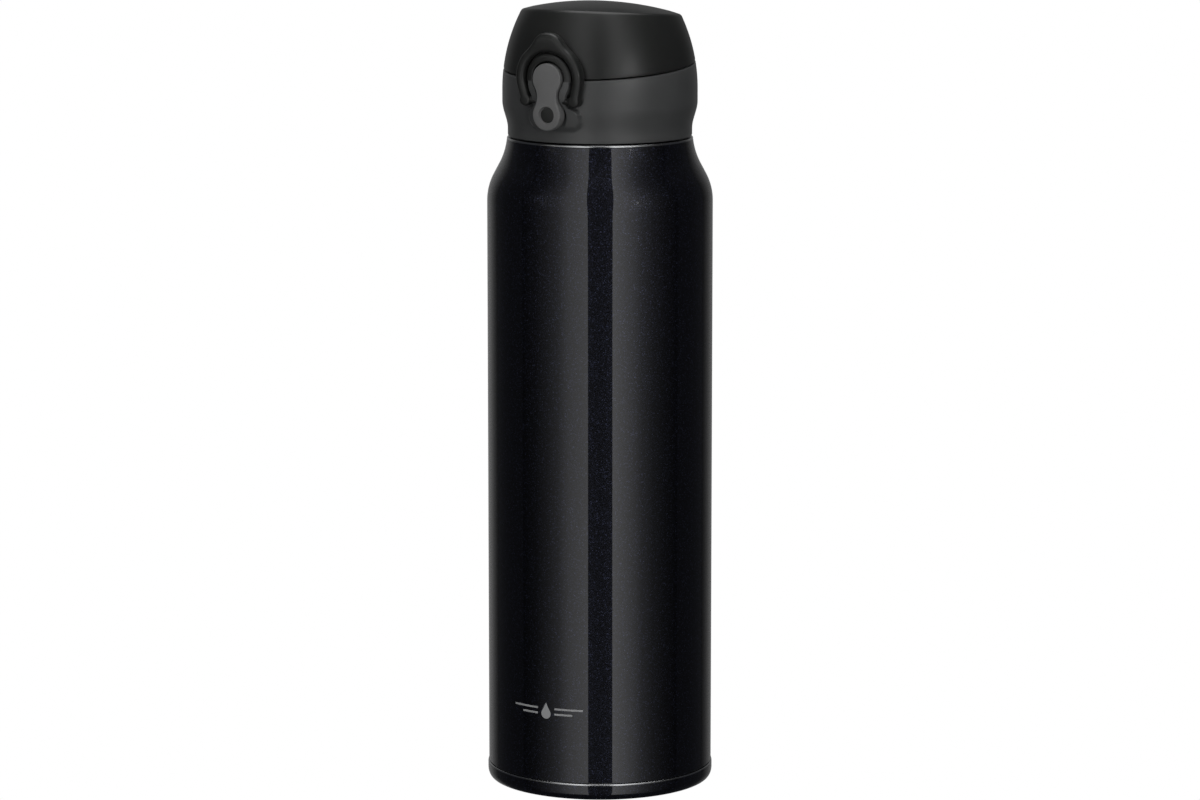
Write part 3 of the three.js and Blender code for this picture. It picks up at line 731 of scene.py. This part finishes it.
# %% [markdown]
# ## The safety ring
# The ring is an oval bar bent round the lock, open at the bottom, with round ends that turn on pins
# in the boss. It is swept about the lock's centre and pushed on down two straight limbs. Then it gets
# its ends, and the bar's top is drawn out into a thumb tab. At rest the ring leans forward a little.

# %% Safety ring
RING_R = 10.45
RING_Z = BUTTON_TOP        # centre of the bend
RING_BEND = radians(15)    # the bend goes this far below level, then the limbs run straight
RING_BAR = (1.65, 2.15)    # half width and half depth of the bar
RING_Y = RING_PIVOT_Y + 0.3
RING_LEAN = 0.082          # radians
RING_PIN_R = 1.2
RING_PIN_END = 4.4         # the pins reach in to this distance from the middle
TAB = 3.0                  # how far the thumb tab stands up
TAB_SPREAD = 0.46          # half width of the tab along the bend, in radians
END_R = 2.0                # round ends, a little fatter than the bar
END_INSET = 0.02           # keeps the ends' flat sides just inside the bar
SQUARE = 0.75              # below 1 makes the bar's oval squarer


def squared(value):
    return abs(value) ** SQUARE * (1 if value > 0 else -1)


def ring_bar():
    bm = bmesh.new()
    bmesh.ops.create_circle(bm, cap_ends=True, segments=36, radius=1)
    for v in bm.verts:
        v.co.x, v.co.y = RING_BAR[0] * squared(v.co.x), RING_BAR[1] * squared(v.co.y)
    bmesh.ops.translate(bm, verts=bm.verts, vec=(RING_R, 0, 0))
    place = Matrix.Translation((0, RING_Y, RING_Z)) @ Matrix.Rotation(RING_BEND, 4, "Y")
    bmesh.ops.transform(bm, matrix=place, verts=bm.verts)
    first = list(bm.faces)
    limb = (RING_Z - RING_R * sin(RING_BEND) - RING_PIVOT_Z) / cos(RING_BEND)
    made = bmesh.ops.spin(bm, geom=bm.verts[:] + bm.edges[:] + bm.faces[:], cent=(0, 0, RING_Z),
                          axis=(0, -1, 0), angle=pi + 2 * RING_BEND, steps=90)
    last = [g for g in made["geom_last"] if isinstance(g, bmesh.types.BMFace)]
    for faces, side in ((first, 1), (last, -1)):
        grown = bmesh.ops.extrude_face_region(bm, geom=faces)
        verts = [g for g in grown["geom"] if isinstance(g, bmesh.types.BMVert)]
        way = Vector((-side * sin(RING_BEND), 0, -cos(RING_BEND)))
        bmesh.ops.translate(bm, verts=verts, vec=way * limb)
    # the caps that are left inside the bar, where the limbs start
    inner = [f for f in bm.faces if len(f.verts) > 4 and f.calc_center_median().z > RING_PIVOT_Z + 1]
    bmesh.ops.delete(bm, geom=inner, context="FACES_ONLY")
    bmesh.ops.remove_doubles(bm, verts=bm.verts, dist=1e-3)
    bmesh.ops.recalc_face_normals(bm, faces=bm.faces)
    return bm


def safety_ring():
    bm = ring_bar()
    end_x = RING_R / cos(RING_BEND) - (RING_Z - RING_PIVOT_Z) * tan(RING_BEND)
    half = RING_BAR[1] - END_INSET
    for side in (-1, 1):
        knob = plate(arc(side * end_x, RING_PIVOT_Z, END_R, 0, 345, 23), RING_Y + half, RING_Y - half, "Y")
        soften(knob, 0.9, 5)
        bm = combined(bm, knob, "UNION")
        ends = sorted((side * RING_PIN_END, side * end_x))
        pin = rod(RING_PIN_R, *ends, RING_PIVOT_Y, RING_PIVOT_Z, bevel=0.2)
        bm = combined(bm, pin, "UNION")
    for v in bm.verts:
        rise = hypot(v.co.x, v.co.z - RING_Z) - RING_R
        if v.co.z > RING_Z and rise > 0:
            turn = atan2(v.co.x, v.co.z - RING_Z)
            v.co.z += TAB * exp(-(turn / TAB_SPREAD) ** 4) * smoothstep(0, RING_BAR[0], rise)
    pivot = Vector((0, RING_PIVOT_Y, RING_PIVOT_Z))
    bmesh.ops.rotate(bm, cent=pivot, matrix=Matrix.Rotation(RING_LEAN, 3, "X"), verts=bm.verts)
    return bm


piece("safety_ring_fine", safety_ring(), "safety_ring", "black_plastic", black_pp, "lock_ring", smooth=50)

# %% [markdown]
# ## The release button
# The button is a plate of that outline with a softly rounded face edge and a round dish for the fingertip
# in its lower circle, with a dark plug on its floor as painted shade. The dish is a small spun shape that
# is cut out. Behind the face are a hub that turns on the pin, a bore for the spring and a latch hook.

# %% Release button
BUTTON_BACK = 33.5
DISH_R = 2.85
DISH_DEPTH = 1.3
SPRING_Z = 226.7       # height of the coil spring behind the button
SPRING_BORE = 34.95    # how far out its bore reaches


def release_button():
    bm = plate(button_outline(), -BUTTON_BACK, -BUTTON_FACE, "Y")
    soften(bm, 0.45, 4, where=lambda e: all(v.co.y < -BUTTON_FACE + 0.1 for v in e.verts))
    dish = bmesh.new()
    outline = rounded([(0, DISH_DEPTH), (DISH_R - 0.35, DISH_DEPTH, 0.5), (DISH_R, 0, 0.1),
                       (DISH_R + 0.3, -0.4)]) + [(0, -0.4)]
    verts = [dish.verts.new((r, y - BUTTON_FACE, BUTTON_LOW)) for r, y in outline]
    edges = [dish.edges.new(pair) for pair in zip(verts, verts[1:])]
    bmesh.ops.spin(dish, geom=verts + edges, cent=(0, 0, BUTTON_LOW), axis=(0, 1, 0), angle=2 * pi,
                   steps=48, use_merge=True)
    bmesh.ops.remove_doubles(dish, verts=dish.verts, dist=1e-3)
    bmesh.ops.recalc_face_normals(dish, faces=dish.faces)
    bm = combined(bm, dish, "DIFFERENCE")
    y, z = (joints["button_press"]["pos_m"][i] / MM for i in (1, 2))
    bm = combined(bm, rod(1.7, -3.6, 3.6, y + 0.2, z, bevel=0.2), "UNION")
    bm = combined(bm, plate(arc(0, SPRING_Z, 2.1, 0, 350, 36), -33, -SPRING_BORE, "Y"), "DIFFERENCE")
    hook = plate([(-33.7, 240.4), (-32.1, 240.4), (-33.7, 242.4)], -2.5, 2.5, bevel=0.1)
    return combined(bm, hook, "UNION")


def dish_painted_shade_plug():
    """Dark plug on the floor of the dish: painted shade for the dish's recess."""
    outline = arc(0, BUTTON_LOW, DISH_R - 0.3, 0, 350, 36)
    return plate(outline, DISH_DEPTH + 0.02 - BUTTON_FACE, DISH_DEPTH - 0.3 - BUTTON_FACE, "Y", bevel=0.08)


piece("release_button", release_button(), "button", "button_plastic", button_pp, "push_button")
# the dark plug paints the shade that falls in the dish
piece("button_dish_painted_shade_plug", dish_painted_shade_plug(), "button", "black_plastic", black_pp)

# %% [markdown]
# ## Inside the lid
# When the lid is open its liner, the stopper gasket and the drinking spout show. They are turned
# pieces with small edge rounds.

# %% Spout, liner and gasket
CEILING = 252.6


def liner():
    outer = [(barrel_r(z) - LID_WALL - 0.4, z) for z in (PART_Z + PART_GAP, 244, 248, CEILING)]
    inner = [(r - 1.4, z) for r, z in outer]
    inner[-1] = (inner[-1][0], CEILING)
    top = CEILING + 1.2
    outline = [(0, CEILING)]
    outline += rounded([(inner[-1][0] - 1, CEILING), (*inner[-1], 0.8), *inner[-2::-1]], steps=5)
    outline += rounded([*outer[:-1], (barrel_r(top) - LID_WALL - 0.5, top, 0.5), (0, top)])
    bm = spun(outline, closed=False, steps=144)
    leaned(bm, lambda z: PART_SLOPE * (1 - smoothstep(PART_Z, 248, z)))
    return combined(bm, hinge_relief(RELIEF_R + 0.3), "DIFFERENCE")


def spout():
    return spun(rounded([
        (6.6, 228.5, 0.3), (9, 228.5, 0.3), (14.6, 230.4, 0.3), (14.6, 231.8, 0.3), (9.4, 232.4, 0.3),
        (9.4, 244), (8.7, SPOUT_TOP - 1.2, 0.6), (8.0, SPOUT_TOP, 0.6), (7.1, SPOUT_TOP, 0.4),
        (6.6, SPOUT_TOP - 0.7, 0.4)],
        closed=True), steps=96, centre=(0, SPOUT_Y))


def stopper_gasket():
    top = CEILING - 0.2
    nose, seat = SPOUT_TOP - 0.6, SPOUT_TOP + 0.3
    return spun([(0, nose)] + rounded([
        (1, nose), (5.5, nose, 0.5), (5.8, seat, 0.3), (9.8, seat, 0.4), (9.8, top, 0.2), (0, top)]),
        closed=False, steps=96, centre=(0, SPOUT_Y))


def holder_ring():
    low, high = SPOUT_TOP + 0.6, CEILING - 0.2
    corners = [(10.2, low, 0.3), (12, low, 0.4), (12, high, 0.2), (10.2, high, 0.2)]
    return spun(rounded(corners, closed=True), steps=96, centre=(0, SPOUT_Y))


piece("lid_liner_fine", liner(), "lid", "pale_plastic", pale_pp, "lid_inner")
piece("spout_fine", spout(), "stopper", "pale_plastic", pale_pp, "spout")
piece("stopper_gasket", stopper_gasket(), "lid", "silicone", silicone, "lid_gasket")
piece("gasket_holder_fine", holder_ring(), "lid", "pale_plastic", pale_pp, "gasket_holder")

# %% [markdown]
# ## The hinge's pin and the springs
# The pin is ground steel with small chamfers. Its spring is a wire coil round it: the same climbing
# sweep as the thread, turned to lie along the pin. A second coil sits behind the button.


# %% Pin and springs
def hinge_spring():
    bm = coil(0.28, 1.75, 2.5, 0.6, 0, sides=10)
    turn = Matrix.Translation((3.75, HINGE_Y, HINGE_Z)) @ Matrix.Rotation(pi / 2, 4, "Y")
    bmesh.ops.transform(bm, matrix=turn, verts=bm.verts)
    return bm


def button_spring():
    """Coil behind the button, drawn as short as it gets when the button is pressed."""
    bm = coil(0.22, 1.5, 3.0, 0.62, 0, sides=10)
    turn = Matrix.Translation((0, -31.95, SPRING_Z)) @ Matrix.Rotation(pi / 2, 4, "X")
    bmesh.ops.transform(bm, matrix=turn, verts=bm.verts)
    return bm


hinge_pin = rod(1.0, -EAR_X[1], EAR_X[1], HINGE_Y, HINGE_Z, bevel=0.15)
piece("hinge_pin_fine", hinge_pin, "stopper", "steel", pin_steel, "hinge_pin")
piece("hinge_spring_fine", hinge_spring(), "stopper", "steel", pin_steel, "hinge_spring", smooth=60)
piece("button_spring_fine", button_spring(), "stopper", "steel", pin_steel, "button_spring", smooth=60)

# %% [markdown]
# ## Finishes for the pieces that stay as they are
# The pieces inside keep their mechanical shape and get the finish of their real material.

# %% Hidden pieces
INNER_FINISHES = {
    "inner_bottle": steel, "outer_bottom": steel, "vacuum_seal": steel, "radiation_foil": foil,
    "getter_pellet": glue, "base_adhesive_ring": glue, "mouth_gasket": silicone,
    "spout_seal_ring": silicone, "button_pin": pin_steel}
for name, finish in INNER_FINISHES.items():
    mesh = frame["nodes"][name].data
    mesh.materials.clear()
    mesh.materials.append(finish)
print("inner pieces:", len(INNER_FINISHES))

# %% [markdown]
# ## The studio
# The flask stands in a white studio. Two tall curved screens of light stand left and right of the
# camera with a dark gap between them, which draws the dark line down the middle of the paint. Each
# screen is brightest at the gap and fades outwards, so the paint's shine fades too. A gradient like
# that can't be set on a lamp, so a screen is a mesh that glows, with its glow stored on its corners.
# The floor is only seen by the camera: a dark paint would mirror it. A soft box overhead shapes the
# lid's dome, and two narrow spot lights lift the lid and collar without reaching the paint.

# %% Floor and world
FRONT = 28.5  # the camera stands this many degrees to the right of the lock


def stage_object(name, bm, material):
    mesh = bpy.data.meshes.new(name)
    bm.to_mesh(mesh)
    bm.free()
    mesh.materials.append(material)
    obj = bpy.data.objects.new(name, mesh)
    scene.collection.objects.link(obj)
    obj.visible_shadow = False
    return obj


def white_floor():
    bm = bmesh.new()
    bmesh.ops.create_grid(bm, x_segments=1, y_segments=1, size=12)
    material = start_material(
        "white_studio_paper", Base_Color=(0, 0, 0, 1), Roughness=0.9, Specular_IOR_Level=0,
        Emission_Color=(1, 1, 1, 1), Emission_Strength=1.0)[0]
    floor = stage_object("studio_floor", bm, material)
    floor.visible_glossy = floor.visible_diffuse = False


def studio_world(ambient):
    world = bpy.data.worlds.new("studio")
    scene.world = world
    world.use_nodes = True
    tree = world.node_tree
    tree.nodes.clear()
    seen = add_node(tree, "ShaderNodeLightPath").outputs["Is Camera Ray"]
    dark = add_node(tree, "ShaderNodeBackground", {"Color": ambient, "Strength": 1.0})
    white = add_node(tree, "ShaderNodeBackground", {"Color": (1, 1, 1, 1), "Strength": 1.0})
    mix = add_node(tree, "ShaderNodeMixShader", {0: seen, 1: dark.outputs[0], 2: white.outputs[0]})
    add_node(tree, "ShaderNodeOutputWorld", {"Surface": mix.outputs[0]})


white_floor()
studio_world((0.03, 0.031, 0.036, 1))


# %% Screens of light
def glow_material():
    material = bpy.data.materials.new("glowing_screen")
    material.use_nodes = True
    tree = material.node_tree
    tree.nodes.clear()
    glow = add_node(tree, "ShaderNodeAttribute", attribute_name="glow")
    light = add_node(tree, "ShaderNodeEmission", {"Strength": glow.outputs["Fac"]})
    add_node(tree, "ShaderNodeOutputMaterial", {"Surface": light.outputs[0]})
    return material


screen_glow = glow_material()


def screen(name, glow, low, high, radius=1.2, flare=0.0):
    """Upright curved screen. glow is (degrees from the camera's side, brightness) stations.

    flare turns the part above the flask's foot away from the camera, in degrees per metre."""
    first, last = glow[0][0], glow[-1][0]
    bm = bmesh.new()
    layer = bm.verts.layers.float.new("glow")
    place = Matrix.Rotation(radians(FRONT + first), 3, "Z")
    verts = [bm.verts.new(place @ Vector((0, -radius, z))) for z in (low, 0, high)]
    edges = [bm.edges.new(pair) for pair in zip(verts, verts[1:])]
    bmesh.ops.spin(bm, geom=verts + edges, axis=(0, 0, 1), angle=radians(last - first), steps=60)
    for v in bm.verts:
        turn = degrees(atan2(v.co.x, -v.co.y)) - FRONT
        v[layer] = along(glow, first + (turn - first + 1) % 360 - 1)
        v.co = Matrix.Rotation(radians(flare * max(v.co.z, 0)), 3, "Z") @ v.co
    stage_object(name, bm, screen_glow).visible_camera = False


screen("left_screen", [(-85, 0.01), (-68, 0.04), (-55, 0.13), (-43, 0.3), (-31, 0.75), (-12, 1.15)],
       -0.9, 1.9, flare=-2.5)
screen("right_screen", [(12.4, 1.45), (28, 0.85), (43, 0.3), (55, 0.12), (68, 0.05), (85, 0.01)],
       -0.9, 1.9, flare=2.5)
screen("left_back_screen", [(-180, 0.25), (-148, 0.22), (-128, 0.01)], -0.9, 0.9)
screen("right_back_screen", [(128, 0.01), (152, 0.16), (180, 0.2)], -0.9, 0.9)


# %% Lamps
SPOT_DISTANCE, SPOT_HEIGHT, SPOT_AIM = 1.3, 0.5, 0.25  # metres


def top_box(power):
    """Soft box overhead, which shapes the lid's dome."""
    light = bpy.data.lights.new("top_box", "AREA")
    light.shape, light.size, light.energy = "SQUARE", 1.4, power
    lamp = bpy.data.objects.new("top_box", light)
    lamp.location = (0, 0, 1.6)
    lamp.visible_camera = False
    scene.collection.objects.link(lamp)


def lid_spot(name, azimuth, power):
    """Narrow spot light that only reaches the lid and the collar."""
    turn = radians(FRONT + azimuth)
    light = bpy.data.lights.new(name, "SPOT")
    light.energy, light.shadow_soft_size = power, 0.12
    light.spot_size, light.spot_blend = radians(3.6), 0.35
    lamp = bpy.data.objects.new(name, light)
    lamp.location = (SPOT_DISTANCE * sin(turn), -SPOT_DISTANCE * cos(turn), SPOT_HEIGHT)
    lamp.rotation_euler = (Vector((0, 0, SPOT_AIM)) - lamp.location).to_track_quat("-Z", "Y").to_euler()
    scene.collection.objects.link(lamp)


top_box(14)
lid_spot("right_spot", 38, 45)
lid_spot("left_spot", -60, 20)

# %% [markdown]
# ## The camera
# A long lens from a metre and a half away and a little above, as for a catalogue picture.

# %% Camera
CAMERA_DISTANCE = 1.4933  # level distance from the axis, metres
CAMERA_HEIGHT = 0.3715
AIM_HEIGHT = 0.1285

camera = bpy.data.objects.new("camera", bpy.data.cameras.new("camera"))
scene.collection.objects.link(camera)
camera.data.lens = 135.6
camera.data.sensor_width = 36
camera.location = (CAMERA_DISTANCE * sin(radians(FRONT)), -CAMERA_DISTANCE * cos(radians(FRONT)),
                   CAMERA_HEIGHT)
aim = Vector((0, 0, AIM_HEIGHT)) - camera.location
camera.rotation_euler = aim.to_track_quat("-Z", "Y").to_euler()
scene.camera = camera
scene.view_settings.view_transform = "Standard"
